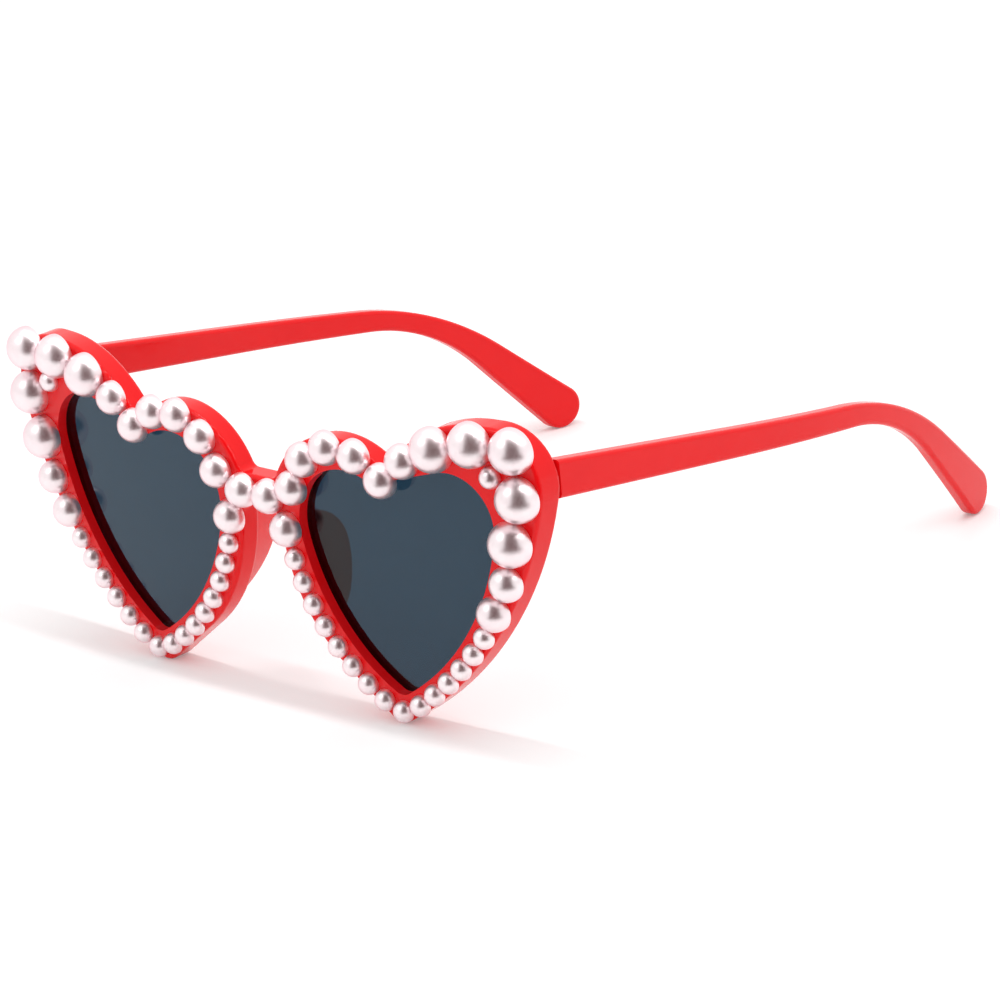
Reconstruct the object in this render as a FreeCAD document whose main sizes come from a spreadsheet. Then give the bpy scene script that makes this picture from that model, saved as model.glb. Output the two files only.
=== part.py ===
# Heart-shaped sunglasses: a moulded front set with half pearls, two tinted lenses and two folding temples.
# Millimetres; +X is the wearer's left, +Y runs back along the temples, +Z is up.
# The open sunglasses stand on z = 0 on both heart tips and both temple ends, centred over the origin.
import FreeCAD
import Part
import math
import os

from FreeCAD import Placement, Rotation, Vector

doc = FreeCAD.newDocument("heart_sunglasses")

# Driving dimensions
DIMENSIONS = [
    ("front_half_width", 70.6, "middle of the bridge to the outer end of the front"),
    ("front_curve_radius", 600.0, "wrap of the front, seen from above"),
    ("back_curve_radius", 490.0, "wrap of the back of the front, which thickens it towards the ends"),
    ("rim_thickness", 5.0, "front face to back face of the front, in the middle"),
    ("rim_edge_radius", 0.8, "rounding of the outer edges of the front"),
    ("bridge_top", 44.8, "height of the bridge's upper edge"),
    ("bridge_bottom", 38.2, "height of the bridge's lower edge"),
    ("bridge_fillet", 2.0, "hollow where the bridge meets the inner lobe"),
    ("nose_arch_fillet", 2.5, "hollow under the bridge, each side"),
    ("nose_half_gap", 5.4, "middle to the rim where the nose gap is narrowest"),
    ("nose_gap_height", 36.5, "height of that narrowest place"),
    ("nose_side_radius", 34.0, "nose side of the rim, down to its straight run"),
    ("inner_lobe_start", 3.4, "middle to the near side of the inner lobe's circle"),
    ("inner_lobe_height", 38.0, "height of the inner lobe's centre"),
    ("inner_lobe_radius", 17.9, "outer edge of the inner lobe"),
    ("outer_lobe_from_end", 13.4, "outer lobe's centre to the end of the front"),
    ("outer_lobe_height", 35.4, "height of the outer lobe's centre"),
    ("outer_lobe_radius", 28.0, "outer edge of the outer lobe"),
    ("cleft_radius", 1.5, "hollow between the lobes"),
    ("corner_radius", 11.0, "upper outer corner"),
    ("side_radius", 76.0, "outer side of the heart"),
    ("tip_from_middle", 32.4, "middle of the bridge to the heart's tip"),
    ("tip_radius", 4.0, "rounding of the heart's tip"),
    ("opening_inner_shift", 2.4, "opening's inner lobe outward of the rim's"),
    ("opening_inner_drop", 1.0, "opening's inner lobe below the rim's"),
    ("inner_rim_width", 5.0, "inner lobe's radius less the opening's"),
    ("end_piece_width", 11.3, "opening to the outer end of the front"),
    ("brow_width", 10.2, "opening to the top edge over the outer lobe"),
    ("opening_corner_radius", 10.0, "upper outer corner of the opening"),
    ("opening_top_radius", 300.0, "upper edge of the opening's outer lobe"),
    ("opening_top_lean", 1.4, "that edge at the corner, from the way to the inner lobe, in degrees"),
    ("opening_cleft_radius", 2.0, "point of the rim that hangs between the lobes"),
    ("opening_side_radius", 52.0, "outer side of the opening"),
    ("opening_nose_radius", 42.0, "nose side of the opening"),
    ("opening_tip_radius", 3.0, "tip of the opening"),
    ("opening_tip_shift", 1.0, "opening's tip outward of the heart's tip"),
    ("tip_rim_width", 6.0, "opening's tip above the heart's tip"),
    ("groove_depth", 1.2, "lens groove, into the rim"),
    ("lens_recess", 2.2, "front face of the rim to the lens"),
    ("lens_thickness", 1.8, "lens, front to back"),
    ("lens_clearance", 0.05, "lens in its groove, all round"),
    ("pad_depth", 13.0, "bridge's front face to the back of a nose pad"),
    ("pad_thickness", 2.9, "nose pad, nose side to lens side"),
    ("pad_set_in", 0.3, "nose pad's side, in from the rim's wall where it leaves it"),
    ("pad_top", 37.4, "upper end of a nose pad"),
    ("pad_peak", 30.5, "height where a nose pad reaches furthest back"),
    ("pad_bottom", 17.0, "lower end of a nose pad"),
    ("pad_flare", 16.0, "outward slant of a nose pad, in degrees"),
    ("pad_edge_radius", 0.7, "rounding of a nose pad's back edges"),
    ("pearl_large", 9.0, "large half pearl, across"),
    ("pearl_medium", 7.0, "medium half pearl, across"),
    ("pearl_small", 4.4, "small half pearl, across"),
    ("dome_share", 1.12, "height of a half pearl, in radii"),
    ("glue_gap", 0.02, "glue under a half pearl"),
    ("least_pearl_gap", 0.15, "least room between neighbouring pearls"),
    ("large_overhang", 1.05, "large pearl past the outer edge"),
    ("medium_overhang", 1.5, "medium pearl past the outer edge"),
    ("small_overhang", 0.7, "small pearl past the outer edge"),
    ("row_corner_radius", 5.0, "turn of the pearl row's own line at the upper outer corner"),
    ("nose_row_gap", 3.2, "pearls along the nose, out from the opening's edge"),
    ("lobe_row_lift", 4.4, "pearls over the inner lobe, above the opening's edge"),
    ("lobe_row_shift", 0.9, "the same row, towards the bridge"),
    ("tip_pearl_turn", 45.0, "tip pearl round the tip from its lowest point, in degrees"),
    ("corner_pearl_tuck", 1.8, "corner pearl, in from the line between two large ones"),
    ("hinge_drop", 10.5, "top edge of the front to the middle of the hinge"),
    ("hinge_inset", 5.4, "outer end of the front to the hinge axis"),
    ("hinge_back_gap", 0.3, "back of the front to the hinge barrel"),
    ("barrel_radius", 1.6, "hinge barrel"),
    ("knuckle_height", 1.6, "one outer knuckle of the hinge"),
    ("middle_knuckle_height", 2.0, "temple knuckle between them"),
    ("knuckle_gap", 0.08, "end play beside the middle knuckle"),
    ("screw_radius", 0.7, "shank of the hinge screw"),
    ("screw_fit", 0.04, "shank in its bore, in radius"),
    ("screw_head_radius", 1.25, "head of the hinge screw"),
    ("screw_head_height", 0.7, "head of the hinge screw"),
    ("screw_slot_width", 0.35, "driver slot"),
    ("screw_slot_depth", 0.35, "driver slot"),
    ("leaf_thickness", 1.2, "hinge leaf, sheet metal"),
    ("leaf_anchor_depth", 2.6, "front leaf, into the front"),
    ("leaf_length", 13.0, "temple leaf, back from the hinge axis"),
    ("leaf_height", 4.4, "temple leaf, upright"),
    ("leaf_embed", 0.8, "temple leaf, into the temple"),
    ("leaf_clearance", 0.05, "leaves in their pockets"),
    ("swing_clearance", 0.3, "room round the barrel and at the butt joint"),
    ("temple_thickness", 3.4, "temple, inside to outside"),
    ("temple_root_height", 7.5, "temple at the butt joint"),
    ("temple_neck_height", 4.2, "temple at the bend"),
    ("temple_bend_length", 107.0, "butt joint to the bend, seen from above"),
    ("temple_slope", 9.6, "fall of the temple to the bend, in degrees"),
    ("temple_drop", 43.5, "fall of the ear end, in degrees"),
    ("temple_end_radius", 4.8, "rounded ear end"),
    ("bend_outer_radius", 80.0, "bend, along the top"),
    ("bend_inner_radius", 50.0, "bend, along the bottom"),
    ("temple_straight", 49.5, "butt joint to the inward bow"),
    ("temple_bow_radius", 380.0, "inward bow, along the outer face"),
    ("temple_edge_radius", 0.9, "rounding of the temple's long edges"),
]

sheet = doc.addObject("Spreadsheet::Sheet", "Sizes")
for row, (alias, value, meaning) in enumerate(DIMENSIONS, start=1):
    sheet.set("A%d" % row, meaning)
    sheet.set("B%d" % row, str(value))
    sheet.setAlias("B%d" % row, alias)
doc.recompute()


class Size:
    """Reads each driving dimension from the sheet by its name."""

    def __getattr__(self, alias):
        return float(sheet.get(alias))


size = Size()


# Flat geometry in the front view: points are (x, z), outlines run clockwise with the material on the right.
# A segment is ("line", start, end) or ("arc", centre, signed radius, start angle, turn).
# A positive radius bulges out of the material and a negative one hollows it.
def between(start, end, share):
    return (start[0] + (end[0] - start[0]) * share, start[1] + (end[1] - start[1]) * share)


def meet(first, first_distance, second, second_distance, side):
    """The point at two given distances, left (+1) or right (-1) of the way from first to second."""
    span = math.dist(first, second)
    along = (span ** 2 + first_distance ** 2 - second_distance ** 2) / (2 * span)
    across = side * math.sqrt(first_distance ** 2 - along ** 2)
    unit = ((second[0] - first[0]) / span, (second[1] - first[1]) / span)
    return (first[0] + unit[0] * along - unit[1] * across, first[1] + unit[1] * along + unit[0] * across)


def tangent_line(first, first_radius, second, second_radius, side):
    """The straight line that touches two circles, left (+1) or right (-1) of the way from first to second."""
    span = math.dist(first, second)
    heading = math.atan2(second[1] - first[1], second[0] - first[0])
    normal = heading + side * math.acos((first_radius - second_radius) / span)
    ends = []
    for centre, radius in ((first, first_radius), (second, second_radius)):
        ends.append((centre[0] + radius * math.cos(normal), centre[1] + radius * math.sin(normal)))
    return ends


def arc_segment(centre, radius, start, end):
    begin = math.atan2(start[1] - centre[1], start[0] - centre[0])
    finish = math.atan2(end[1] - centre[1], end[0] - centre[0])
    if radius > 0:
        turn = -((begin - finish) % (2 * math.pi))
    else:
        turn = (finish - begin) % (2 * math.pi)
    return ("arc", centre, radius, begin, turn)


def arcs_through(start, circles, end):
    """Arcs of (centre, signed radius) circles that touch one after another, from start to end."""
    points = [start]
    for (centre, radius), (next_centre, next_radius) in zip(circles, circles[1:]):
        points.append(between(centre, next_centre, radius / (radius - next_radius)))
    points.append(end)
    return [arc_segment(circle[0], circle[1], a, b) for circle, a, b in zip(circles, points, points[1:])]


def segment_length(segment):
    if segment[0] == "line":
        return math.dist(segment[1], segment[2])
    return abs(segment[2] * segment[4])


def segment_point(segment, share, inset=0.0):
    """A point of the segment, moved into the material by the inset."""
    if segment[0] == "line":
        start, end = segment[1], segment[2]
        span = math.dist(start, end)
        right = ((end[1] - start[1]) / span, -(end[0] - start[0]) / span)
        point = between(start, end, share)
        return (point[0] + right[0] * inset, point[1] + right[1] * inset)
    centre, radius, begin, turn = segment[1:]
    reach = abs(radius - inset)
    angle = begin + turn * share
    return (centre[0] + reach * math.cos(angle), centre[1] + reach * math.sin(angle))


def mirrored(segments):
    """The same stretch on the other side of the middle, run backwards so that it stays clockwise."""
    result = []
    for segment in reversed(segments):
        if segment[0] == "line":
            start, end = segment[2], segment[1]
            result.append(("line", (-start[0], start[1]), (-end[0], end[1])))
        else:
            centre, radius, begin, turn = segment[1:]
            result.append(("arc", (-centre[0], centre[1]), radius, math.pi - begin - turn, turn))
    return result


def face_of(segments, place):
    """A flat face inside closed segments; place turns each flat point into a point in space."""
    edges = []
    for segment in segments:
        start, middle, end = [place(*segment_point(segment, share)) for share in (0, 0.5, 1)]
        if segment[0] == "line":
            edges.append(Part.LineSegment(start, end).toShape())
        else:
            edges.append(Part.Arc(start, middle, end).toShape())
    return Part.Face(Part.Wire(edges))


def front_view(x, z):
    return Vector(x, 0, z)


def side_view(y, z):
    return Vector(0, y, z)


def plan_view(x, y):
    return Vector(x, y, 0)


# Outline of the front, from the middle of the bridge's top edge round one heart to its bottom edge
top_edge = size.outer_lobe_height + size.outer_lobe_radius
inner_lobe = (size.inner_lobe_start + size.inner_lobe_radius, size.inner_lobe_height)
outer_lobe = (size.front_half_width - size.outer_lobe_from_end, size.outer_lobe_height)
corner = (size.front_half_width - size.corner_radius, top_edge - size.corner_radius)
heart_tip = (size.tip_from_middle, size.tip_radius)

bridge_hollow_height = size.bridge_top + size.bridge_fillet
bridge_hollow_reach = size.inner_lobe_radius + size.bridge_fillet
bridge_hollow_rise = bridge_hollow_height - size.inner_lobe_height
bridge_hollow_run = math.sqrt(bridge_hollow_reach ** 2 - bridge_hollow_rise ** 2)
bridge_hollow = (inner_lobe[0] - bridge_hollow_run, bridge_hollow_height)

cleft = meet(inner_lobe, size.inner_lobe_radius + size.cleft_radius,
             outer_lobe, size.outer_lobe_radius + size.cleft_radius, 1)
side_centre = meet(corner, size.side_radius - size.corner_radius,
                   heart_tip, size.side_radius - size.tip_radius, -1)

# The nose side is an arc, upright at the narrowest place of the nose gap, and a straight run to the tip.
nose_centre = (size.nose_half_gap + size.nose_side_radius, size.nose_gap_height)
tip_leave, nose_join = tangent_line(heart_tip, size.tip_radius, nose_centre, size.nose_side_radius, 1)
arch_height = size.bridge_bottom - size.nose_arch_fillet
arch_reach = size.nose_side_radius + size.nose_arch_fillet
arch_hollow = (nose_centre[0] - math.sqrt(arch_reach ** 2 - (arch_height - nose_centre[1]) ** 2), arch_height)

bridge_top_middle = (0.0, size.bridge_top)
bridge_top_end = (bridge_hollow[0], size.bridge_top)
lobe_top = (outer_lobe[0], top_edge)
corner_top = (corner[0], top_edge)
arch_top = (arch_hollow[0], size.bridge_bottom)
bridge_bottom_middle = (0.0, size.bridge_bottom)

inner_lobe_edge = arcs_through(bridge_top_end, [
    (bridge_hollow, -size.bridge_fillet),
    (inner_lobe, size.inner_lobe_radius),
    (cleft, -size.cleft_radius),
    (outer_lobe, size.outer_lobe_radius),
], lobe_top)
side_edge = arcs_through(corner_top, [
    (corner, size.corner_radius),
    (side_centre, size.side_radius),
    (heart_tip, size.tip_radius),
], tip_leave)
nose_edge = [("line", tip_leave, nose_join)] + arcs_through(nose_join, [
    (nose_centre, size.nose_side_radius),
    (arch_hollow, -size.nose_arch_fillet),
], arch_top)
top_line = ("line", lobe_top, corner_top)
half_outline = [("line", bridge_top_middle, bridge_top_end)] + inner_lobe_edge + [top_line]
half_outline += side_edge + nose_edge + [("line", arch_top, bridge_bottom_middle)]
front_outline = half_outline + mirrored(half_outline)

# Circles of the lens opening, each placed from the rim beside it
opening_inner = (inner_lobe[0] + size.opening_inner_shift, inner_lobe[1] - size.opening_inner_drop)
opening_inner_radius = size.inner_lobe_radius - size.inner_rim_width
opening_corner = (size.front_half_width - size.end_piece_width - size.opening_corner_radius,
                  top_edge - size.brow_width - size.opening_corner_radius)
opening_tip = (heart_tip[0] + size.opening_tip_shift, size.tip_rim_width + size.opening_tip_radius)
corner_heading = math.atan2(opening_corner[1] - opening_inner[1], opening_corner[0] - opening_inner[0])
top_normal = corner_heading + math.radians(90 + size.opening_top_lean)
top_reach = size.opening_top_radius - size.opening_corner_radius
opening_top = (opening_corner[0] - top_reach * math.cos(top_normal),
               opening_corner[1] - top_reach * math.sin(top_normal))
opening_cleft = meet(opening_inner, opening_inner_radius + size.opening_cleft_radius,
                     opening_top, size.opening_top_radius + size.opening_cleft_radius, 1)
opening_side = meet(opening_corner, size.opening_side_radius - size.opening_corner_radius,
                    opening_tip, size.opening_side_radius - size.opening_tip_radius, -1)
opening_nose = meet(opening_tip, size.opening_nose_radius - size.opening_tip_radius,
                    opening_inner, size.opening_nose_radius - opening_inner_radius, -1)


def opening_outline(growth):
    """The lens opening, or the same shape grown evenly for the lens and its groove."""
    circles = [
        (opening_inner, opening_inner_radius + growth),
        (opening_cleft, growth - size.opening_cleft_radius),
        (opening_top, size.opening_top_radius + growth),
        (opening_corner, size.opening_corner_radius + growth),
        (opening_side, size.opening_side_radius + growth),
        (opening_tip, size.opening_tip_radius + growth),
        (opening_nose, size.opening_nose_radius + growth),
    ]
    first, last = circles[0], circles[-1]
    seam = between(last[0], first[0], last[1] / (last[1] - first[1]))
    return arcs_through(seam, circles, seam)


# Depth of the front: its face and its back are parts of two upright cylinders with axes behind the wearer
def face_depth(x):
    return size.front_curve_radius - math.sqrt(size.front_curve_radius ** 2 - x ** 2)


def back_depth(x):
    sag = size.back_curve_radius - math.sqrt(size.back_curve_radius ** 2 - x ** 2)
    return size.rim_thickness + sag


hinge_x = size.front_half_width - size.hinge_inset
hinge_y = back_depth(hinge_x) + size.hinge_back_gap + size.barrel_radius
hinge_z = top_edge - size.hinge_drop
butt_y = back_depth(size.front_half_width) + size.swing_clearance

# Side view of a temple: its middle line falls to the bend, then drops to the rounded ear end on the table
neck = size.temple_neck_height / 2
bend = (butt_y + size.temple_bend_length,
        hinge_z - size.temple_bend_length * math.tan(math.radians(size.temple_slope)))
ear_end = (bend[0] + (bend[1] - size.temple_end_radius) / math.tan(math.radians(size.temple_drop)),
           size.temple_end_radius)

# The whole stands centred over the origin, from the foremost pearl to the ear ends.
bridge_pearl_x = (size.pearl_medium + size.least_pearl_gap) / 2
foremost = face_depth(bridge_pearl_x) - size.glue_gap - size.dome_share * size.pearl_medium / 2
hindmost = ear_end[0] + size.temple_end_radius
stand = Placement(Vector(0, -(foremost + hindmost) / 2, 0), Rotation())

nodes = []


def finish_node(item, label):
    """Names a finished piece and stands it in the part's own frame."""
    item.Label = label
    item.Placement = stand.multiply(item.Placement)
    nodes.append(item)


def finish_pair(item, name):
    """The same for a left piece and its mirror image, which follows it."""
    image = mirror_of(name + "_image", item)
    finish_node(item, name + "_left")
    image.Label = name + "_right"
    nodes.append(image)


def flat_face(name, segments, place):
    item = doc.addObject("Part::Feature", name)
    item.Shape = face_of(segments, place)
    return item


def extrusion(name, base, direction, forward, backward=0.0):
    item = doc.addObject("Part::Extrusion", name)
    item.Base = base
    item.DirMode = "Custom"
    item.Dir = direction
    item.LengthFwd = forward
    item.LengthRev = backward
    item.Solid = True
    return item


def boolean(kind, name, base, tool):
    item = doc.addObject("Part::" + kind, name)
    item.Base = base
    item.Tool = tool
    return item


def fused(name, shapes):
    item = doc.addObject("Part::MultiFuse", name)
    item.Shapes = shapes
    return item


def mirror_of(name, source):
    item = doc.addObject("Part::Mirroring", name)
    item.Source = source
    item.Normal = Vector(1, 0, 0)
    return item


def wrapped_cylinder(name, radius_formula, axis_formula="Sizes.front_curve_radius"):
    """An upright cylinder about the wrap's axis, tall enough for the whole front."""
    item = doc.addObject("Part::Cylinder", name)
    item.setExpression("Radius", radius_formula)
    item.setExpression("Height", "2 * (Sizes.outer_lobe_height + Sizes.outer_lobe_radius)")
    item.setExpression("Placement.Base.y", axis_formula)
    item.setExpression("Placement.Base.z", "-Sizes.outer_lobe_height")
    return item


def wrapped_layer(name, outer_formula, inner_formula):
    """The layer between two depths behind the front face."""
    outside = wrapped_cylinder(name + "_outside", "Sizes.front_curve_radius - (" + outer_formula + ")")
    inside = wrapped_cylinder(name + "_inside", "Sizes.front_curve_radius - (" + inner_formula + ")")
    return boolean("Cut", name, outside, inside)


def through_front(name, segments):
    """A prism through the whole depth of the front."""
    depth = 2 * butt_y
    return extrusion(name, flat_face(name + "_outline", segments, front_view), Vector(0, 1, 0), depth, depth)


def rounded(name, base, radius, wanted):
    """Rounds the edges of a piece that the wanted test picks."""
    doc.recompute()
    picked = [number for number, edge in enumerate(base.Shape.Edges, start=1) if wanted(edge)]
    item = doc.addObject("Part::Fillet", name)
    item.Base = base
    item.Edges = [(number, radius, radius) for number in picked]
    return item


def rim_edges(shape):
    """Tests whether an edge bounds the front or the back face of the front."""
    faces = [face for face in shape.Faces if face.Surface.TypeId == "Part::GeomCylinder"]
    wide = [face for face in faces if face.Surface.Radius > size.front_curve_radius / 2]
    edges = [edge for face in wide for edge in face.Edges]
    return lambda edge: any(edge.isSame(other) for other in edges)


# Front frame: one moulding of both rims, the bridge, the end pieces and the nose pads
rim_layer = boolean("Cut", "rim_layer", wrapped_cylinder("rim_face", "Sizes.front_curve_radius"),
                    wrapped_cylinder("rim_back", "Sizes.back_curve_radius",
                                     "Sizes.rim_thickness + Sizes.back_curve_radius"))
front_plate = boolean("Common", "front_plate", through_front("front_prism", front_outline), rim_layer)
doc.recompute()
front_plate = rounded("front_rounded", front_plate, size.rim_edge_radius, rim_edges(front_plate.Shape))

opening_left = through_front("opening_left", opening_outline(0.0))
groove_prism = through_front("groove_prism", opening_outline(size.groove_depth))
groove_left = boolean("Common", "groove_left", groove_prism,
                      wrapped_layer("groove_layer", "Sizes.lens_recess - Sizes.lens_clearance",
                                    "Sizes.lens_recess + Sizes.lens_thickness + Sizes.lens_clearance"))
lens_seat_left = fused("lens_seat_left", [opening_left, groove_left])
lens_seats = fused("lens_seats", [lens_seat_left, mirror_of("lens_seat_right", lens_seat_left)])

pad_front = size.rim_thickness - size.rim_edge_radius


def pad_arc(end_height):
    """Centre and radius of the pad's back curve, upright at its peak, down to the rim's back at one end."""
    rise = end_height - size.pad_peak
    sag = size.pad_depth - size.rim_thickness
    radius = (rise ** 2 + sag ** 2) / (2 * sag)
    return (size.pad_depth - radius, size.pad_peak), radius


pad_upper_centre, pad_upper_radius = pad_arc(size.pad_top)
pad_lower_centre, pad_lower_radius = pad_arc(size.pad_bottom)
pad_side_outline = [("line", (pad_front, size.pad_bottom), (pad_front, size.pad_top)),
                    ("line", (pad_front, size.pad_top), (size.rim_thickness, size.pad_top))]
pad_side_outline += arcs_through((size.rim_thickness, size.pad_top),
                                 [(pad_upper_centre, pad_upper_radius), (pad_lower_centre, pad_lower_radius)],
                                 (size.rim_thickness, size.pad_bottom))
pad_side_outline += [("line", (size.rim_thickness, size.pad_bottom), (pad_front, size.pad_bottom))]


def nose_point(height, inset):
    """A point beside the nose edge, in from the edge by the inset."""
    reach = size.nose_side_radius - inset
    return (nose_centre[0] - math.sqrt(reach ** 2 - (height - nose_centre[1]) ** 2), height)


pad_nose_side = size.pad_set_in
pad_lens_side = pad_nose_side + size.pad_thickness
strip_low = [nose_point(size.pad_bottom, inset) for inset in (pad_nose_side, pad_lens_side)]
strip_high = [nose_point(size.pad_top, inset) for inset in (pad_nose_side, pad_lens_side)]
pad_strip = [
    arc_segment(nose_centre, size.nose_side_radius - pad_nose_side, strip_low[0], strip_high[0]),
    ("line", strip_high[0], strip_high[1]),
    arc_segment(nose_centre, pad_lens_side - size.nose_side_radius, strip_high[1], strip_low[1]),
    ("line", strip_low[1], strip_low[0]),
]
pad_prism = extrusion("pad_prism", flat_face("pad_strip", pad_strip, front_view), Vector(0, 1, 0),
                      2 * size.pad_depth, size.pad_depth)
pad_prism.Placement = Placement(Vector(), Rotation(Vector(0, 0, 1), -size.pad_flare),
                                Vector(size.nose_half_gap, pad_front, 0))
pad_profile = extrusion("pad_profile", flat_face("pad_side", pad_side_outline, side_view), Vector(1, 0, 0),
                        size.front_half_width)
pad_left = boolean("Common", "pad_left", pad_prism, pad_profile)


def pad_back_edge(edge):
    behind_rim = edge.BoundBox.YMax > size.rim_thickness + size.pad_edge_radius
    return behind_rim and edge.BoundBox.ZLength > size.pad_thickness


pad_left = rounded("pad_left_rounded", pad_left, size.pad_edge_radius, pad_back_edge)

anchor_bottom = back_depth(hinge_x) - size.leaf_anchor_depth
hinge_height = 2 * size.knuckle_height + size.middle_knuckle_height + 2 * size.knuckle_gap
pocket = doc.addObject("Part::Box", "anchor_pocket_left")
pocket.setExpression("Length", "Sizes.leaf_thickness + 2 * Sizes.leaf_clearance")
pocket.Width = 2 * size.leaf_anchor_depth
pocket.Height = hinge_height + 2 * size.leaf_clearance
pocket.Placement.Base = Vector(hinge_x - size.leaf_thickness / 2 - size.leaf_clearance,
                               anchor_bottom - size.leaf_clearance,
                               hinge_z - hinge_height / 2 - size.leaf_clearance)

front_open = boolean("Cut", "front_open", front_plate, lens_seats)
front_padded = fused("front_padded", [front_open, pad_left, mirror_of("pad_right", pad_left)])
pockets = fused("anchor_pockets", [pocket, mirror_of("anchor_pocket_right", pocket)])
finish_node(boolean("Cut", "front", front_padded, pockets), "front_frame")

# Lenses: tinted sheets cut to the groove's outline and bent to the wrap of the front
lens_outline = opening_outline(size.groove_depth - size.lens_clearance)
lens = boolean("Common", "lens", through_front("lens_prism", lens_outline),
               wrapped_layer("lens_layer", "Sizes.lens_recess", "Sizes.lens_recess + Sizes.lens_thickness"))
finish_pair(lens, "lens")

# Half pearls: flat-backed domes glued to the front face, strung edge to edge along the rim
large, medium, small = size.pearl_large, size.pearl_medium, size.pearl_small
OVERHANG = {large: size.large_overhang, medium: size.medium_overhang, small: size.small_overhang}
least_gap = size.least_pearl_gap
HALVINGS = 30


def row_point(row, distance, inset):
    """A point a given way along a row of segments, in from the edge by the inset."""
    for segment in row:
        length = segment_length(segment)
        if distance <= length or segment is row[-1]:
            return segment_point(segment, distance / length, inset)
        distance -= length


def strung(row, start, pearls, gap, inset_of):
    """Centres of pearls that follow each other along a row with one gap, and the way to the last of them."""
    centres = []
    along = 0.0
    last, last_size = start
    for pearl in pearls:
        inset = inset_of(pearl)
        near = along
        far = along + last_size + pearl + 2 * abs(gap)
        for _ in range(HALVINGS):
            middle = (near + far) / 2
            if math.dist(last, row_point(row, middle, inset)) < (last_size + pearl) / 2 + gap:
                near = middle
            else:
                far = middle
        along = near
        last = row_point(row, along, inset)
        last_size = pearl
        centres.append((last, pearl))
    return centres, along


def evenly_strung(row, start, pearls, end, inset_of):
    """The same, with the gap that brings the last of them up to the pearl at the row's end."""
    whole_way = sum(segment_length(segment) for segment in row)
    low, high = -small, large
    for _ in range(HALVINGS):
        gap = (low + high) / 2
        centres, along = strung(row, start, pearls, gap, inset_of)
        last, last_size = centres[-1]
        room = math.dist(last, end[0]) - (last_size + end[1]) / 2
        if along < whole_way and room > gap:
            low = gap
        else:
            high = gap
    return centres, gap


def filled_row(row, start, pearls, filler, end, inset_of):
    """As many filler pearls after the given ones as the row has room for."""
    best, gap = evenly_strung(row, start, pearls + [filler], end, inset_of)
    count = 1
    while gap >= least_gap:
        count += 1
        trial, gap = evenly_strung(row, start, pearls + [filler] * count, end, inset_of)
        if gap >= least_gap:
            best = trial
    return best


def edge_inset(pearl):
    return pearl / 2 - OVERHANG[pearl]


def pearl_on_front(name, centre, diameter_alias):
    """One dome on the front face, square to it; its flat back lies on the face."""
    diameter = getattr(size, diameter_alias)
    x, z = centre
    outward = Vector(x, face_depth(x) - size.front_curve_radius, 0).normalize()
    lift = (size.dome_share - 1) * diameter / 2 + size.glue_gap
    dome = doc.addObject("Part::Sphere", name)
    dome.setExpression("Radius", "Sizes.%s / 2" % diameter_alias)
    dome.setExpression("Angle1", "-asin(Sizes.dome_share - 1)")
    seat = Vector(x, face_depth(x), z)
    dome.Placement = Placement(seat + outward * lift, Rotation(Vector(0, 0, 1), outward))
    return dome


def pearl_alias(diameter):
    return {large: "pearl_large", medium: "pearl_medium", small: "pearl_small"}[diameter]


cleft_pearl = (cleft[0], cleft[1] - size.cleft_radius - edge_inset(medium))
tip_angle = math.radians(size.tip_pearl_turn - 90)
tip_pearl_reach = size.tip_radius - edge_inset(small) - size.small_overhang
tip_pearl = (heart_tip[0] + tip_pearl_reach * math.cos(tip_angle),
             heart_tip[1] + tip_pearl_reach * math.sin(tip_angle))
bridge_pearl = (bridge_pearl_x, (size.bridge_top + size.bridge_bottom) / 2)

# Both rows end at the tip pearl. The outer one follows the edge, but turns the corner more sharply than the
# rim does; the nose row goes round the opening and is walked on the other side, where it runs clockwise.
row_corner = (size.front_half_width - size.row_corner_radius, top_edge - size.row_corner_radius)
row_corner_top = (row_corner[0], top_edge)
row_side = meet(row_corner, size.side_radius - size.row_corner_radius,
                heart_tip, size.side_radius - size.tip_radius, -1)
outer_row = [inner_lobe_edge[3], ("line", lobe_top, row_corner_top)] + arcs_through(row_corner_top, [
    (row_corner, size.row_corner_radius),
    (row_side, size.side_radius),
    (heart_tip, size.tip_radius),
], tip_pearl)
opening_round = opening_outline(size.nose_row_gap)
round_tip, round_nose, round_inner = opening_round[-2], opening_round[-1], opening_round[0]
row_top = (opening_inner[0] - round_inner[2], opening_inner[1])
nose_row = mirrored([
    arc_segment(opening_tip, round_tip[2], tip_pearl, segment_point(round_tip, 1)),
    round_nose,
    arc_segment(opening_inner, round_inner[2], segment_point(round_inner, 0), row_top),
])
lobe_row_centre = (opening_inner[0] - size.lobe_row_shift, opening_inner[1] + size.lobe_row_lift)
lobe_row = [arc_segment(lobe_row_centre, opening_inner_radius, (0.0, lobe_row_centre[1]), cleft_pearl)]


def across(point):
    return (-point[0], point[1])


def no_inset(pearl):
    return 0.0


outer_sizes = [medium, large, large, large, large, large, medium, medium]
outer_pearls = filled_row(outer_row, (cleft_pearl, medium), outer_sizes, small,
                          (tip_pearl, small), edge_inset)
nose_pearls = filled_row(nose_row, (across(bridge_pearl), medium), [medium], small,
                         (across(tip_pearl), small), no_inset)
nose_pearls = [(across(centre), pearl) for centre, pearl in nose_pearls]
lobe_pearls = filled_row(lobe_row, (bridge_pearl, medium), [medium], medium, (cleft_pearl, medium), no_inset)

# One small pearl is tucked into the corner, inside the turn of the large ones.
corner_pearl = segment_point(("line", outer_pearls[2][0], outer_pearls[4][0]), 0.5, size.corner_pearl_tuck)

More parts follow.
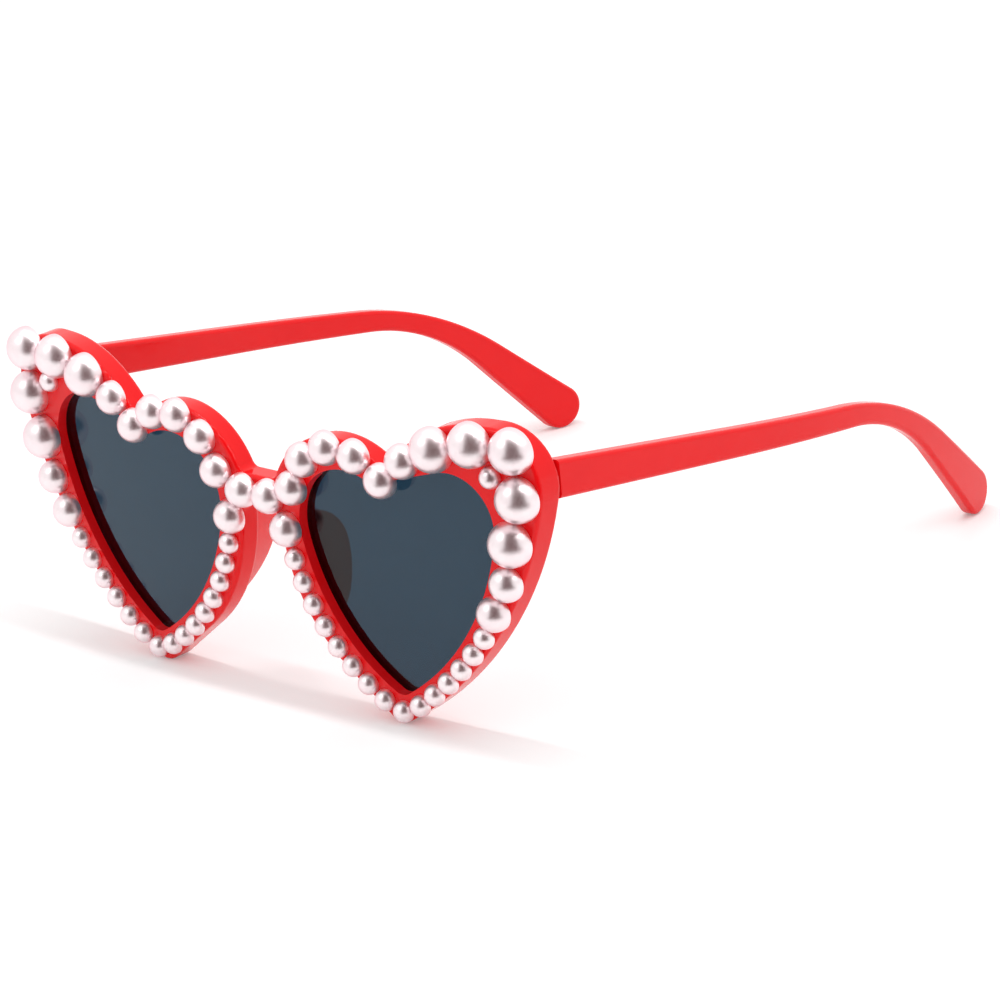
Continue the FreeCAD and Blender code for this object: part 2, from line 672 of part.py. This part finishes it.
single_pearls = [("bridge_pearl", bridge_pearl, medium), ("cleft_pearl", cleft_pearl, medium),
                 ("nose_pearl", nose_pearls[0][0], medium), ("corner_pearl", corner_pearl, small)]
single_pearls += [("lobe_pearl_%d" % number, centre, pearl)
                  for number, (centre, pearl) in enumerate(lobe_pearls, start=1)]
single_pearls += [("brow_pearl_%d" % number, centre, pearl)
                  for number, (centre, pearl) in enumerate(outer_pearls, start=1) if pearl != small]
pearl_strings = {
    "side_pearls": [centre for centre, pearl in outer_pearls if pearl == small],
    "chin_pearls": [tip_pearl] + [centre for centre, pearl in nose_pearls if pearl == small],
}

for side_name, sign in (("left", 1), ("right", -1)):
    for name, (x, z), pearl in single_pearls:
        label = "%s_%s" % (name, side_name)
        finish_node(pearl_on_front(label, (sign * x, z), pearl_alias(pearl)), label)
    for name, centres in pearl_strings.items():
        label = "%s_%s" % (name, side_name)
        domes = [pearl_on_front(label + "_dome", (sign * x, z), "pearl_small") for x, z in centres]
        string = doc.addObject("Part::Compound", label + "_string")
        string.Links = domes
        finish_node(string, label)

# Temples: flat bars, bent down behind the ear and bowed in towards the head
root_half = size.temple_root_height / 2


def crossing(line, other):
    """The point where two straight lines cross."""
    (ax, ay), (bx, by) = line
    (cx, cy), (dx, dy) = other
    share = ((cx - ax) * (dy - cy) - (cy - ay) * (dx - cx)) / ((bx - ax) * (dy - cy) - (by - ay) * (dx - cx))
    return between((ax, ay), (bx, by), share)


def corner_arc(before, at, after, radius):
    """A rounded corner: the arc that touches both straight runs, hollow where the way turns left."""
    into = math.atan2(at[1] - before[1], at[0] - before[0])
    out = math.atan2(after[1] - at[1], after[0] - at[0])
    turn = (out - into + math.pi) % (2 * math.pi) - math.pi
    reach = radius * math.tan(abs(turn) / 2)
    start = (at[0] - reach * math.cos(into), at[1] - reach * math.sin(into))
    end = (at[0] + reach * math.cos(out), at[1] + reach * math.sin(out))
    side = math.copysign(radius, turn)
    centre = (start[0] - side * math.sin(into), start[1] + side * math.cos(into))
    return arc_segment(centre, -side, start, end), start, end


# Both straight edges start ahead of the butt joint, where the plan of the temple cuts them off.
root = (butt_y, hinge_z)
root_top, neck_top = tangent_line(root, root_half, bend, neck, 1)
root_bottom, neck_bottom = tangent_line(root, root_half, bend, neck, -1)
ear_top_start, ear_top_end = tangent_line(bend, neck, ear_end, size.temple_end_radius, 1)
ear_bottom_start, ear_bottom_end = tangent_line(bend, neck, ear_end, size.temple_end_radius, -1)
AHEAD = 1.1
ahead_top = between(neck_top, root_top, AHEAD)
ahead_bottom = between(neck_bottom, root_bottom, AHEAD)
bend_top = crossing((ahead_top, neck_top), (ear_top_start, ear_top_end))
bend_bottom = crossing((ahead_bottom, neck_bottom), (ear_bottom_start, ear_bottom_end))
top_arc, top_arc_start, top_arc_end = corner_arc(ahead_top, bend_top, ear_top_end, size.bend_outer_radius)
bottom_arc, bottom_arc_start, bottom_arc_end = corner_arc(ear_bottom_end, bend_bottom, ahead_bottom,
                                                          size.bend_inner_radius)
temple_side_outline = [
    ("line", ahead_top, top_arc_start), top_arc, ("line", top_arc_end, ear_top_end),
    arc_segment(ear_end, size.temple_end_radius, ear_top_end, ear_bottom_end),
    ("line", ear_bottom_end, bottom_arc_start), bottom_arc, ("line", bottom_arc_end, ahead_bottom),
    ("line", ahead_bottom, ahead_top),
]

# Plan of a temple: straight, then bowed inwards; its front end follows the back of the front.
outer_face = size.front_half_width - size.rim_edge_radius / 2
inner_face = outer_face - size.temple_thickness
bow_start = butt_y + size.temple_straight
bow_centre = (outer_face - size.temple_bow_radius, bow_start)
outer_radius = size.temple_bow_radius
inner_radius = outer_radius - size.temple_thickness
bow_depth = hindmost + size.temple_end_radius - bow_start


def bow_end(radius):
    return (bow_centre[0] + math.sqrt(radius ** 2 - bow_depth ** 2), bow_start + bow_depth)


butt_radius = size.back_curve_radius - size.swing_clearance
butt_centre = (0.0, size.rim_thickness + size.back_curve_radius)


def butt_point(x):
    return (x, butt_centre[1] - math.sqrt(butt_radius ** 2 - x ** 2))


temple_plan = [
    ("line", butt_point(inner_face), (inner_face, bow_start)),
    arc_segment(bow_centre, -inner_radius, (inner_face, bow_start), bow_end(inner_radius)),
    ("line", bow_end(inner_radius), bow_end(outer_radius)),
    arc_segment(bow_centre, outer_radius, bow_end(outer_radius), (outer_face, bow_start)),
    ("line", (outer_face, bow_start), butt_point(outer_face)),
    arc_segment(butt_centre, butt_radius, butt_point(outer_face), butt_point(inner_face)),
]
temple_upright = extrusion("temple_upright", flat_face("temple_plan", temple_plan, plan_view),
                           Vector(0, 0, 1), 2 * hinge_z, hinge_z)
temple_profile = extrusion("temple_profile", flat_face("temple_side", temple_side_outline, side_view),
                           Vector(1, 0, 0), 2 * size.front_half_width)
temple_bar = boolean("Common", "temple_bar", temple_upright, temple_profile)


def long_edge(edge):
    box = edge.BoundBox
    return box.YMax > butt_y + size.temple_thickness and box.YLength > size.rim_edge_radius


temple_bar = rounded("temple_rounded", temple_bar, size.temple_edge_radius, long_edge)

relief = doc.addObject("Part::Cylinder", "barrel_relief")
relief.setExpression("Radius", "Sizes.barrel_radius + Sizes.swing_clearance")
relief.Height = 2 * hinge_z
relief.Placement.Base = Vector(hinge_x, hinge_y, 0)


def leaf_outline(margin):
    """Side view of the temple leaf, falling with the temple, with an even margin for its pocket."""
    slope = math.tan(math.radians(size.temple_slope))
    start, end = hinge_y - margin, hinge_y + size.leaf_length + margin
    half = size.leaf_height / 2 + margin
    low_start = hinge_z - half - slope * (start - butt_y)
    low_end = hinge_z - half - slope * (end - butt_y)
    corners = [(start, low_start), (start, low_start + 2 * half), (end, low_end + 2 * half), (end, low_end)]
    return [("line", a, b) for a, b in zip(corners, corners[1:] + corners[:1])]


leaf_outside = inner_face + size.leaf_embed
leaf_inside = leaf_outside - size.leaf_thickness
pocket_side = flat_face("leaf_pocket_side", leaf_outline(size.leaf_clearance), side_view)
leaf_pocket = extrusion("leaf_pocket", pocket_side, Vector(1, 0, 0), leaf_outside + size.leaf_clearance)
temple = boolean("Cut", "temple", temple_bar, fused("temple_cuts", [relief, leaf_pocket]))
finish_pair(temple, "temple")

# Hinges: pressed metal leaves with barrel knuckles; the front leaf has two, the temple leaf sits between them
bore_radius = size.screw_radius + size.screw_fit


def upright_cylinder(name, radius, bottom, height):
    item = doc.addObject("Part::Cylinder", name)
    item.Radius = radius
    item.Height = height
    item.Placement.Base = Vector(hinge_x, hinge_y, bottom)
    return item


def box_between(name, low, high):
    item = doc.addObject("Part::Box", name)
    item.Length = high[0] - low[0]
    item.Width = high[1] - low[1]
    item.Height = high[2] - low[2]
    item.Placement.Base = Vector(*low)
    return item


hinge_bottom = hinge_z - hinge_height / 2
hinge_top = hinge_z + hinge_height / 2
leaf_half = size.leaf_thickness / 2
screw_bore = upright_cylinder("screw_bore", bore_radius, 0, 2 * hinge_z)

front_leaf_pieces = [box_between("front_leaf_anchor", (hinge_x - leaf_half, anchor_bottom, hinge_bottom),
                                 (hinge_x + leaf_half, back_depth(hinge_x), hinge_top))]
for name, bottom in (("lower", hinge_bottom), ("upper", hinge_top - size.knuckle_height)):
    top = bottom + size.knuckle_height
    knuckle = upright_cylinder(name + "_knuckle", size.barrel_radius, bottom, size.knuckle_height)
    web = box_between(name + "_knuckle_web", (hinge_x - leaf_half, anchor_bottom, bottom),
                      (hinge_x + leaf_half, hinge_y, top))
    front_leaf_pieces += [knuckle, web]
front_leaf = boolean("Cut", "front_leaf", fused("front_leaf_solid", front_leaf_pieces), screw_bore)

middle_half = size.middle_knuckle_height / 2
plate_side = flat_face("leaf_plate_side", leaf_outline(0.0), side_view)
leaf_plate = extrusion("leaf_plate", plate_side, Vector(1, 0, 0), leaf_outside)
leaf_cutoff = box_between("leaf_cutoff", (0, 0, 0), (leaf_inside, 2 * hindmost, 2 * hinge_z))
leaf_clear = upright_cylinder("leaf_clear", size.barrel_radius + size.swing_clearance, 0, 2 * hinge_z)
leaf_sheet = boolean("Cut", "leaf_sheet", leaf_plate, fused("leaf_trim", [leaf_cutoff, leaf_clear]))
middle_knuckle = upright_cylinder("middle_knuckle", size.barrel_radius, hinge_z - middle_half,
                                  size.middle_knuckle_height)
middle_web = box_between("middle_web", (hinge_x, hinge_y, hinge_z - middle_half),
                         (leaf_outside, hinge_y + 2 * size.barrel_radius, hinge_z + middle_half))
temple_leaf_solid = fused("temple_leaf_solid", [leaf_sheet, middle_knuckle, middle_web])
temple_leaf = boolean("Cut", "temple_leaf", temple_leaf_solid, screw_bore)

shank = upright_cylinder("screw_shank", size.screw_radius, hinge_bottom, hinge_height)
head = upright_cylinder("screw_head", size.screw_head_radius, hinge_top, size.screw_head_height)
slot = box_between("screw_slot", (hinge_x - size.screw_slot_width / 2, hinge_y - 2 * size.screw_head_radius,
                                  hinge_top + size.screw_head_height - size.screw_slot_depth),
                   (hinge_x + size.screw_slot_width / 2, hinge_y + 2 * size.screw_head_radius,
                    hinge_top + 2 * size.screw_head_height))
screw = boolean("Cut", "screw", fused("screw_blank", [shank, head]), slot)

finish_pair(front_leaf, "hinge_front_leaf")
finish_pair(temple_leaf, "hinge_temple_leaf")
finish_pair(screw, "hinge_screw")

doc.recompute()

# Nothing is written unless every object is sound.
for item in doc.Objects:
    if "Invalid" in item.State or "Error" in item.State:
        raise RuntimeError("%s is %s" % (item.Name, item.State))
for node in nodes:
    if node.Shape.isNull() or not node.Shape.isValid() or not node.Shape.Solids:
        raise RuntimeError("%s has no sound solid" % node.Label)

os.makedirs("parts", exist_ok=True)
for node in nodes:
    node.Shape.exportStep("parts/%s.step" % node.Label)
print("%d nodes written" % len(nodes))
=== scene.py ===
import math

import bpy
from mathutils import Matrix, Vector


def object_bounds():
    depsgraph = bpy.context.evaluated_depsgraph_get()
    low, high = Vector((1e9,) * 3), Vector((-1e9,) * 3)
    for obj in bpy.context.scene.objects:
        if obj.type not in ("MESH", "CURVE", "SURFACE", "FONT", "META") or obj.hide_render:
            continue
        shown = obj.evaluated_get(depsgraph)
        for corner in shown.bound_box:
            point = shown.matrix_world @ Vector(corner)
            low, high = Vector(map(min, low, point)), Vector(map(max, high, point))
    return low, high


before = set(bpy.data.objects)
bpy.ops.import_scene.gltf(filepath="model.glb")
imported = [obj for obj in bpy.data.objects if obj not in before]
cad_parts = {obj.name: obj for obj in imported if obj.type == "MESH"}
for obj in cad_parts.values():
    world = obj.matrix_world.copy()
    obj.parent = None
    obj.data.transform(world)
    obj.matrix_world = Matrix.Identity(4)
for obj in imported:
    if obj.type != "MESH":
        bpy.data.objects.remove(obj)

cad_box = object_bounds()
scene = bpy.context.scene

# Front: one injection moulding of glossy red plastic that holds both rims, the bridge, the end
# pieces and the nose pads. It comes out of a polished mould, so its colour swirls faintly and its
# skin has a very slight ripple, and handling has left soft smears in the gloss.
RED = (0.95, 0.009, 0.011)
DEEP_RED = (0.87, 0.005, 0.008)
RED_ROUGHNESS = {"Clean Roughness": 0.02, "Smeared Roughness": 0.07}
RED_SCALES = {"Swirl Scale": 60.0, "Smear Scale": 140.0, "Ripple Scale": 520.0}
RED_RIPPLE = 0.00002
RED_IOR = 1.5
RED_SPECULAR = 0.22
SWIRL_DETAIL = 3.0
SWIRL_DISTORTION = 1.2
SMEAR_DETAIL = 5.0
SMEAR_COARSENESS = 0.65
RIPPLE_DETAIL = 1.0
MIX_COLOUR_A = 6
MIX_COLOUR_B = 7
MIX_COLOUR_RESULT = 2


def rgba(colour):
    """A colour with full cover, as the colour sockets take it."""
    return (*colour, 1.0)


def noise_on_piece(nodes, links, place, scale, detail):
    """Noise that stays fixed to the piece, with its scale taken from a socket."""
    noise = nodes.new("ShaderNodeTexNoise")
    noise.inputs["Detail"].default_value = detail
    links.new(place, noise.inputs["Vector"])
    links.new(scale, noise.inputs["Scale"])
    return noise


def colour_mix(nodes, links, factor):
    """A mix of two colours, led by a socket."""
    mix = nodes.new("ShaderNodeMix")
    mix.data_type = "RGBA"
    links.new(factor, mix.inputs["Factor"])
    return mix


def polished_skin_group():
    """Slow drifts of colour, smears in the gloss and a fine ripple, as polished mouldings have."""
    group = bpy.data.node_groups.new("polished_skin", "ShaderNodeTree")
    sockets = (
        ("Colour", "INPUT", "NodeSocketColor"),
        ("Drift Colour", "INPUT", "NodeSocketColor"),
        ("Clean Roughness", "INPUT", "NodeSocketFloat"),
        ("Smeared Roughness", "INPUT", "NodeSocketFloat"),
        ("Swirl Scale", "INPUT", "NodeSocketFloat"),
        ("Smear Scale", "INPUT", "NodeSocketFloat"),
        ("Ripple Scale", "INPUT", "NodeSocketFloat"),
        ("Colour", "OUTPUT", "NodeSocketColor"),
        ("Roughness", "OUTPUT", "NodeSocketFloat"),
        ("Ripple", "OUTPUT", "NodeSocketFloat"),
    )
    for name, direction, kind in sockets:
        group.interface.new_socket(name, in_out=direction, socket_type=kind)
    nodes, links = group.nodes, group.links
    given = nodes.new("NodeGroupInput")
    result = nodes.new("NodeGroupOutput")
    place = nodes.new("ShaderNodeTexCoord")
    on_piece = place.outputs["Object"]

    swirl = noise_on_piece(nodes, links, on_piece, given.outputs["Swirl Scale"], SWIRL_DETAIL)
    swirl.inputs["Distortion"].default_value = SWIRL_DISTORTION
    colour = colour_mix(nodes, links, swirl.outputs["Fac"])
    links.new(given.outputs["Colour"], colour.inputs[MIX_COLOUR_A])
    links.new(given.outputs["Drift Colour"], colour.inputs[MIX_COLOUR_B])
    links.new(colour.outputs[MIX_COLOUR_RESULT], result.inputs["Colour"])

    smear = noise_on_piece(nodes, links, on_piece, given.outputs["Smear Scale"], SMEAR_DETAIL)
    smear.inputs["Roughness"].default_value = SMEAR_COARSENESS
    roughness = nodes.new("ShaderNodeMix")
    links.new(smear.outputs["Fac"], roughness.inputs["Factor"])
    links.new(given.outputs["Clean Roughness"], roughness.inputs["A"])
    links.new(given.outputs["Smeared Roughness"], roughness.inputs["B"])
    links.new(roughness.outputs["Result"], result.inputs["Roughness"])

    ripple = noise_on_piece(nodes, links, on_piece, given.outputs["Ripple Scale"], RIPPLE_DETAIL)
    links.new(ripple.outputs["Fac"], result.inputs["Ripple"])
    return group


polished_skin = polished_skin_group()


def skinned_material(name, colour, drift_colour, roughness, scales, ripple_height):
    """A polished surface under the shared skin, and its shader for values of its own."""
    material = bpy.data.materials.new(name)
    material.use_nodes = True
    nodes, links = material.node_tree.nodes, material.node_tree.links
    shader = nodes["Principled BSDF"]
    skin = nodes.new("ShaderNodeGroup")
    skin.node_tree = polished_skin
    skin.inputs["Colour"].default_value = rgba(colour)
    skin.inputs["Drift Colour"].default_value = rgba(drift_colour)
    for socket, value in (roughness | scales).items():
        skin.inputs[socket].default_value = value
    links.new(skin.outputs["Colour"], shader.inputs["Base Color"])
    links.new(skin.outputs["Roughness"], shader.inputs["Roughness"])
    bump = nodes.new("ShaderNodeBump")
    bump.inputs["Strength"].default_value = 1.0
    bump.inputs["Distance"].default_value = ripple_height
    links.new(skin.outputs["Ripple"], bump.inputs["Height"])
    links.new(bump.outputs["Normal"], shader.inputs["Normal"])
    return material, shader


def dress(node, material):
    """Gives a node of the frame its finish."""
    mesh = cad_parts[node].data
    mesh.materials.clear()
    mesh.materials.append(material)


red_plastic, red_shader = skinned_material(
    "red_plastic", RED, DEEP_RED, RED_ROUGHNESS, RED_SCALES, RED_RIPPLE)
red_shader.inputs["IOR"].default_value = RED_IOR
red_shader.inputs["Specular IOR Level"].default_value = RED_SPECULAR
dress("front_frame", red_plastic)

# Front hinge leaves: pressed nickel-plated steel, sunk into pockets behind the end pieces.
# The press and the grinding of the barrels leave a fine, uneven grain in the plating.
SIDES = ("left", "right")
STEEL = (0.62, 0.61, 0.60)
DULL_STEEL = (0.44, 0.43, 0.42)
STEEL_ROUGHNESS = {"Clean Roughness": 0.22, "Smeared Roughness": 0.42}
STEEL_SCALES = {"Swirl Scale": 900.0, "Smear Scale": 1500.0, "Ripple Scale": 2600.0}
STEEL_RIPPLE = 0.00001
hinge_steel, steel_shader = skinned_material(
    "hinge_steel", STEEL, DULL_STEEL, STEEL_ROUGHNESS, STEEL_SCALES, STEEL_RIPPLE)
steel_shader.inputs["Metallic"].default_value = 1.0
for side in SIDES:
    dress("hinge_front_leaf_" + side, hinge_steel)

# Lenses: smoke-tinted polycarbonate sheets, cut to the hearts and sprung into the grooves of the
# rims. The tint drifts a little over the sheet, and finger smears dull the polish here and there.
SMOKE = (0.015, 0.040, 0.067)
SMOKE_DRIFT = (0.012, 0.035, 0.060)
LENS_ROUGHNESS = {"Clean Roughness": 0.0, "Smeared Roughness": 0.03}
LENS_SCALES = {"Swirl Scale": 35.0, "Smear Scale": 90.0, "Ripple Scale": 60.0}
LENS_RIPPLE = 0.00001
LENS_IOR = 1.38
smoke_lens, lens_shader = skinned_material(
    "smoke_lens", SMOKE, SMOKE_DRIFT, LENS_ROUGHNESS, LENS_SCALES, LENS_RIPPLE)
lens_shader.inputs["Transmission Weight"].default_value = 1.0
lens_shader.inputs["IOR"].default_value = LENS_IOR
for side in SIDES:
    dress("lens_" + side, smoke_lens)

# Half pearls: flat-backed acrylic domes with a pearl lacquer, glued edge to edge round the hearts.
# The lacquer mirrors the room through a milky white body with a trace of pink.
NACRE = (0.98, 0.935, 0.94)
PINK_NACRE = (0.96, 0.79, 0.82)
PEARL_ROUGHNESS = {"Clean Roughness": 0.29, "Smeared Roughness": 0.35}
PEARL_SCALES = {"Swirl Scale": 170.0, "Smear Scale": 420.0, "Ripple Scale": 300.0}
PEARL_RIPPLE = 0.00001
PEARL_MIRROR = 0.88
PEARL_EDGE_TINT = (1.0, 0.72, 0.77)
pearl_lacquer, pearl_shader = skinned_material(
    "pearl_lacquer", NACRE, PINK_NACRE, PEARL_ROUGHNESS, PEARL_SCALES, PEARL_RIPPLE)
pearl_shader.inputs["Metallic"].default_value = PEARL_MIRROR
pearl_shader.inputs["Specular Tint"].default_value = rgba(PEARL_EDGE_TINT)
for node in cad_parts:
    if "pearl" in node:
        dress(node, pearl_lacquer)

# Temples: moulded bars of the same red plastic, bent down behind the ears and bowed in to the
# head. Their outer sides are plain and polished.
for side in SIDES:
    dress("temple_" + side, red_plastic)

# Temple hinge leaves and screws: the same plated steel. Each leaf is sunk into the inside of a
# temple, and a slotted screw runs down through the knuckles.
for side in SIDES:
    dress("hinge_temple_leaf_" + side, hinge_steel)
    dress("hinge_screw_" + side, hinge_steel)

# Table: white paper that the sunglasses stand on. It glows just enough to look paper white, and
# more so further out, where the lamp no longer reaches.
WHITE_PAPER = (0.86, 0.86, 0.86)
TABLE_GLOW = 0.2
FAR_TABLE_GLOW = 0.36
LAMP_REACH = (0.3, 1.1)
FLOOR_WIDTH = 6.0
SQUARE_CORNERS = ((-0.5, -0.5), (0.5, -0.5), (0.5, 0.5), (-0.5, 0.5))
SQUARE_FACES = [(0, 1, 2, 3)]


def seen_directly(nodes, links):
    """One for a camera, mirror or glass ray that meets the surface, and nought for other light."""
    path = nodes.new("ShaderNodeLightPath")
    either = nodes.new("ShaderNodeMath")
    either.operation = "MAXIMUM"
    links.new(path.outputs["Is Camera Ray"], either.inputs[0])
    links.new(path.outputs["Is Glossy Ray"], either.inputs[1])
    any_ray = nodes.new("ShaderNodeMath")
    any_ray.operation = "MAXIMUM"
    links.new(either.outputs["Value"], any_ray.inputs[0])
    links.new(path.outputs["Is Transmission Ray"], any_ray.inputs[1])
    return any_ray.outputs["Value"]


def bare_material(name):
    """A material with only its output left, and its nodes and links."""
    material = bpy.data.materials.new(name)
    material.use_nodes = True
    nodes, links = material.node_tree.nodes, material.node_tree.links
    nodes.remove(nodes["Principled BSDF"])
    return material, nodes, links


def floor_material():
    """Matt paper with a glow that rises with the distance from the middle of the table."""
    material, nodes, links = bare_material("white_table")
    paper = nodes.new("ShaderNodeBsdfDiffuse")
    paper.inputs["Color"].default_value = rgba(WHITE_PAPER)
    glow = nodes.new("ShaderNodeEmission")
    place = nodes.new("ShaderNodeNewGeometry")
    distance = nodes.new("ShaderNodeVectorMath")
    distance.operation = "LENGTH"
    links.new(place.outputs["Position"], distance.inputs[0])
    glow_level = nodes.new("ShaderNodeMapRange")
    glow_level.inputs["From Min"].default_value = LAMP_REACH[0]
    glow_level.inputs["From Max"].default_value = LAMP_REACH[1]
    glow_level.inputs["To Min"].default_value = TABLE_GLOW
    glow_level.inputs["To Max"].default_value = FAR_TABLE_GLOW
    links.new(distance.outputs["Value"], glow_level.inputs["Value"])
    level = nodes.new("ShaderNodeMath")
    level.operation = "MULTIPLY"
    links.new(seen_directly(nodes, links), level.inputs[0])
    links.new(glow_level.outputs["Result"], level.inputs[1])
    links.new(level.outputs["Value"], glow.inputs["Strength"])
    both = nodes.new("ShaderNodeAddShader")
    links.new(paper.outputs["BSDF"], both.inputs[0])
    links.new(glow.outputs["Emission"], both.inputs[1])
    links.new(both.outputs["Shader"], nodes["Material Output"].inputs["Surface"])
    return material


def studio_sheet(name, corners, faces, material):
    """A thin piece of the studio, put into the scene."""
    mesh = bpy.data.meshes.new(name)
    mesh.from_pydata(corners, [], faces)
    mesh.materials.append(material)
    sheet = bpy.data.objects.new(name, mesh)
    scene.collection.objects.link(sheet)
    return sheet


floor_corners = [(across * FLOOR_WIDTH, along * FLOOR_WIDTH, 0.0) for across, along in SQUARE_CORNERS]
floor = studio_sheet("floor", floor_corners, SQUARE_FACES, floor_material())

# Tent: white cloth all round, which gives an even light from every side. Where it is seen or
# mirrored it is plain white.
WHITE = (1.0, 1.0, 1.0)
TENT_LIGHT = 0.76
TENT_WHITE = 1.0
world = bpy.data.worlds.new("tent")
world.use_nodes = True
scene.world = world
tent_nodes, tent_links = world.node_tree.nodes, world.node_tree.links
tent = tent_nodes["Background"]
tent.inputs["Color"].default_value = rgba(WHITE)
tent_level = tent_nodes.new("ShaderNodeMapRange")
tent_level.inputs["To Min"].default_value = TENT_LIGHT
tent_level.inputs["To Max"].default_value = TENT_WHITE
tent_links.new(seen_directly(tent_nodes, tent_links), tent_level.inputs["Value"])
tent_links.new(tent_level.outputs["Result"], tent.inputs["Strength"])

# Lamp: one long strip overhead, along the front of the sunglasses and turned down to them.
# It throws the narrow shadow on the table.
LAMP_PLACE = (0.20, -0.05, 1.05)
LAMP_LENGTH = 1.3
LAMP_WIDTH = 0.07
LAMP_WATTS = 5.0
lamp_tilt = -math.atan2(LAMP_PLACE[1], LAMP_PLACE[2])
lamp_light = bpy.data.lights.new("strip_lamp", "AREA")
lamp_light.shape = "RECTANGLE"
lamp_light.size = LAMP_LENGTH
lamp_light.size_y = LAMP_WIDTH
lamp_light.energy = LAMP_WATTS
lamp = bpy.data.objects.new("strip_lamp", lamp_light)
lamp.location = LAMP_PLACE
lamp.rotation_euler = (lamp_tilt, 0.0, 0.0)
scene.collection.objects.link(lamp)

# Painted glints: two glowing square sheets, up on the right and on the left, that are no lamps. Only
# mirrored rays see them, so they add no light of their own; they paint highlights on the pearls'
# shoulders and faint glints along the red edges.
PAINTED_GLINT_PLACES = {
    "painted_glint_right": Vector((0.855, 0.33, 0.90)),
    "painted_glint_left": Vector((-0.365, -0.84, 0.90)),
}
PAINTED_GLINT_WIDTH = 0.42
PAINTED_GLINT_STRENGTH = 3.5


def glowing_material(name):
    """A surface that only glows, and its emission node for the colour and strength."""
    material, nodes, links = bare_material(name)
    glow = nodes.new("ShaderNodeEmission")
    links.new(glow.outputs["Emission"], nodes["Material Output"].inputs["Surface"])
    return material, glow


def show_in_mirrors_only(sheet):
    """Keeps a glowing sheet out of the picture and the light, so that only gloss shows it, as a
    painted reflection.
    """
    sheet.visible_camera = False
    sheet.visible_diffuse = False
    sheet.visible_shadow = False
    sheet.visible_transmission = False


painted_glint_material, painted_glint_glow = glowing_material("painted_glint_sheet")
painted_glint_glow.inputs["Strength"].default_value = PAINTED_GLINT_STRENGTH
# Each sheet is a painted highlight: it glows in reflections and lights nothing.
for name, place in PAINTED_GLINT_PLACES.items():
    facing = place.to_track_quat("Z", "Y").to_matrix()
    painted_glint_corners = []
    for across, along in SQUARE_CORNERS:
        painted_glint_corners.append(place + facing @ Vector((across, along, 0.0)) * PAINTED_GLINT_WIDTH)
    painted_glint_sheet = studio_sheet(name, painted_glint_corners, SQUARE_FACES, painted_glint_material)
    show_in_mirrors_only(painted_glint_sheet)

# Camera: a long lens at the photograph's angle, a little above the table and turned to the
# wearer's left. It is held with a slight roll.
AZIMUTH = math.radians(43.781)
ELEVATION = math.radians(19.356)
ROLL = math.radians(-5.0)
CAMERA_ASIDE = 0.619462
CAMERA_BEFORE_FOREMOST = 0.575342
CAMERA_HEIGHT = 0.333084
FOCAL_PIXELS = 4651.263
IMAGE_PIXELS = 1000.0
SENSOR_MM = 36.0
toward_camera = Vector((math.sin(AZIMUTH), -math.cos(AZIMUTH), 0.0))
level_right = Vector((math.cos(AZIMUTH), math.sin(AZIMUTH), 0.0))
backward = math.cos(ELEVATION) * toward_camera + Vector((0.0, 0.0, math.sin(ELEVATION)))
level_up = backward.cross(level_right)
image_right = math.cos(ROLL) * level_right + math.sin(ROLL) * level_up
image_up = math.cos(ROLL) * level_up - math.sin(ROLL) * level_right
camera_data = bpy.data.cameras.new("camera")
camera_data.sensor_width = SENSOR_MM
camera_data.lens = SENSOR_MM * FOCAL_PIXELS / IMAGE_PIXELS
camera = bpy.data.objects.new("camera", camera_data)
camera_place = Vector((CAMERA_ASIDE, cad_box[0][1] - CAMERA_BEFORE_FOREMOST, CAMERA_HEIGHT))
camera_turn = Matrix((image_right, image_up, backward)).transposed()
camera.matrix_world = Matrix.Translation(camera_place) @ camera_turn.to_4x4()
scene.collection.objects.link(camera)
scene.camera = camera

# Tent opening, painted into the reflections: a glowing sheet that only mirrors see, and that paints
# the dark patch in the pearls. It runs from the table's near edge, out behind the camera and up
# overhead. Its painted shade fades out to glowing white towards its edges, which softens the painted
# reflection. Each row says how far out, how high, how wide to each side and how dark.
# Colour of the painted shade in the pearls' reflection.
OPENING_SHADE = (0.07, 0.006, 0.006)
OPENING_ROWS = (
    (0.16, 0.002, 0.13, 0.0),
    (0.26, 0.002, 0.23, 1.0),
    (0.90, 0.002, 0.71, 1.0),
    (1.10, 0.50, 0.82, 1.0),
    (1.00, 1.20, 0.82, 1.0),
    (0.60, 1.70, 0.84, 0.85),
    (0.10, 2.00, 0.98, 0.0),
)
ACROSS_OPENING = ((-1.0, 0.0), (-0.66, 1.0), (0.66, 1.0), (1.0, 0.0))
card_corners = []
card_darkness = []
for out, height, half_width, row_darkness in OPENING_ROWS:
    middle = toward_camera * out + Vector((0.0, 0.0, height))
    for across, darkness in ACROSS_OPENING:
        card_corners.append(middle + across * half_width * level_right)
        card_darkness.append(darkness * row_darkness)
columns = len(ACROSS_OPENING)
card_faces = []
for row in range(len(OPENING_ROWS) - 1):
    for column in range(columns - 1):
        first = row * columns + column
        card_faces.append((first, first + 1, first + 1 + columns, first + columns))
# The sheet glows white at its edges and with the painted shade in the middle; mirrors alone show it.
card_material, card_glow = glowing_material("painted_opening_reflection")
card_nodes, card_links = card_material.node_tree.nodes, card_material.node_tree.links
painted_shade_fade = card_nodes.new("ShaderNodeAttribute")
painted_shade_fade.attribute_name = "darkness"
card_shade = colour_mix(card_nodes, card_links, painted_shade_fade.outputs["Fac"])
card_shade.inputs[MIX_COLOUR_A].default_value = rgba(WHITE)
card_shade.inputs[MIX_COLOUR_B].default_value = rgba(OPENING_SHADE)
card_links.new(card_shade.outputs[MIX_COLOUR_RESULT], card_glow.inputs["Color"])
card = studio_sheet("painted_opening_reflection", card_corners, card_faces, card_material)
darkness_values = card.data.attributes.new("darkness", "FLOAT", "POINT")
darkness_values.data.foreach_set("value", card_darkness)
show_in_mirrors_only(card)

scene.view_settings.view_transform = "Standard"
